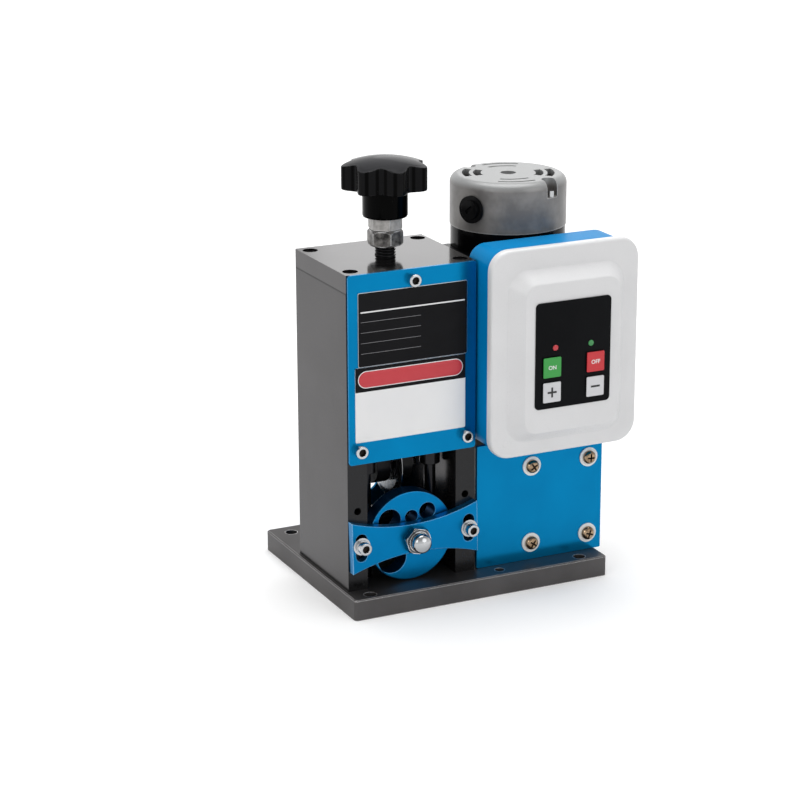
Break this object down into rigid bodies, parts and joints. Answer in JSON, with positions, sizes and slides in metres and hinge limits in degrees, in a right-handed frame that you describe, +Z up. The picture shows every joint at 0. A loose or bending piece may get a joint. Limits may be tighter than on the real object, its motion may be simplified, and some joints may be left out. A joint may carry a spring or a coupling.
{
  "type": "cable stripping machine",
  "caption": "Bench cable stripping machine: a dark tower with a round blade on a knob-set carriage over a knurled feed roller, a turning guide disc in front, a worm-drive motor, a control box.",
  "frame": {"origin": "centre of the base plate's underside, on the bench", "axes": "+X to the right seen from the front, +Y to the back, +Z up"},
  "size_m": [0.2048, 0.1704, 0.2955],
  "materials": {
    "dark_plate": "satin, fine texture",
    "blue_plate": "satin blue",
    "black_plate": "satin black",
    "sticker": "smooth film",
    "bright_steel": "nickel plated",
    "ground_steel": "ground",
    "black_steel": "black oxide",
    "knob_plastic": "satin gloss",
    "cast_alloy": "cast, painted silver",
    "motor_black": "gloss black",
    "gear_bronze": "machined",
    "copper": "wound wire",
    "carbon": "dull",
    "cover_white": "gloss white",
    "washer_white": "nylon",
    "panel_black": "smooth film",
    "board_green": "laminate",
    "lamp": "clear tinted",
    "button_green": "moulded",
    "button_red": "moulded",
    "button_grey": "moulded"
  },
  "bodies": {
    "frame": {"base_plate": "dark_plate", "left_side_plate": "dark_plate", "right_side_plate": "dark_plate", "top_block": "dark_plate", "front_cover": "blue_plate", "back_cover": "blue_plate", "rating_plate": "black_plate", "plain_sticker": "sticker", "cover_screws": "bright_steel", "top_block_screws": "black_steel", "base_screws": "black_steel", "guide_rods": "ground_steel", "stop_collars": "ground_steel", "shaft_bearings": "ground_steel", "gearbox_housing": "black_plate", "gearbox_lid": "black_plate", "gearbox_plate": "blue_plate", "plate_screws": "bright_steel", "plate_washers": "washer_white", "rotor_bearings": "ground_steel", "field_magnets": "black_steel", "motor_body": "motor_black", "motor_clamp": "black_plate", "motor_end_cap": "cast_alloy", "end_cap_screws": "bright_steel", "brush_caps": "knob_plastic", "carbon_brushes": "carbon", "clamp_screws": "bright_steel", "clamp_washers": "bright_steel", "control_box": "blue_plate", "control_cover": "cover_white", "control_panel": "panel_black", "circuit_board": "board_green", "indicator_lamps": "lamp", "cable_gland": "knob_plastic"},
    "carriage": {"blade_carriage": "black_steel", "spindle_keeper": "ground_steel", "keeper_screws": "black_steel", "blade_axle": "ground_steel", "axle_nut": "ground_steel"},
    "blade": {"cutting_blade": "ground_steel"},
    "spindle": {"spindle": "ground_steel", "lock_nut": "bright_steel", "hex_collar": "bright_steel", "star_knob": "knob_plastic"},
    "drive": {"drive_shaft": "ground_steel", "feed_roller": "ground_steel", "worm_wheel": "gear_bronze"},
    "rotor": {"worm_shaft": "ground_steel", "armature": "copper", "commutator": "copper"},
    "bracket": {"guide_bracket": "blue_plate", "pivot_bolt": "ground_steel", "spacer_washer": "ground_steel", "dome_nut": "bright_steel"},
    "disc": {"guide_disc": "blue_plate"},
    "on_button": {"on_button": "button_green"},
    "off_button": {"off_button": "button_red"},
    "plus_button": {"plus_button": "button_grey"},
    "minus_button": {"minus_button": "button_grey"}
  },
  "joints": [
    {"name": "carriage_slide", "type": "slide", "parent": "frame", "child": "carriage", "axis": [0, 0, 1], "range_m": [-0.0065, 0.014]},
    {"name": "spindle_turn", "type": "hinge", "parent": "carriage", "child": "spindle", "pos_m": [-0.0455, -0.019, 0.2], "axis": [0, 0, 1], "range_deg": [-1170, 2520]},
    {"name": "blade_spin", "type": "hinge", "parent": "carriage", "child": "blade", "pos_m": [-0.0455, -0.019, 0.088], "axis": [1, 0, 0], "continuous": true},
    {"name": "rotor_spin", "type": "hinge", "parent": "frame", "child": "rotor", "pos_m": [0.0555, 0, 0.15], "axis": [0, 0, 1], "continuous": true},
    {"name": "drive_spin", "type": "hinge", "parent": "frame", "child": "drive", "pos_m": [0, -0.019, 0.037], "axis": [1, 0, 0], "continuous": true},
    {"name": "bracket_slide", "type": "slide", "parent": "frame", "child": "bracket", "axis": [0, 0, 1], "range_m": [0, 0.006]},
    {"name": "disc_turn", "type": "hinge", "parent": "bracket", "child": "disc", "pos_m": [-0.0455, -0.05, 0.046], "axis": [0, 1, 0], "continuous": true},
    {"name": "on_button_press", "type": "slide", "parent": "frame", "child": "on_button", "axis": [0, 1, 0], "range_m": [0, 0.0008], "stiffness_N_per_m": 400, "springref_m": -0.001},
    {"name": "off_button_press", "type": "slide", "parent": "frame", "child": "off_button", "axis": [0, 1, 0], "range_m": [0, 0.0008], "stiffness_N_per_m": 400, "springref_m": -0.001},
    {"name": "plus_button_press", "type": "slide", "parent": "frame", "child": "plus_button", "axis": [0, 1, 0], "range_m": [0, 0.0008], "stiffness_N_per_m": 400, "springref_m": -0.001},
    {"name": "minus_button_press", "type": "slide", "parent": "frame", "child": "minus_button", "axis": [0, 1, 0], "range_m": [0, 0.0008], "stiffness_N_per_m": 400, "springref_m": -0.001}
  ],
  "couplings": [
    {"joint": "spindle_turn", "follows": "carriage_slide", "rad_per_m": 3141.6},
    {"joint": "drive_spin", "follows": "rotor_spin", "ratio": -0.038462}
  ]
}
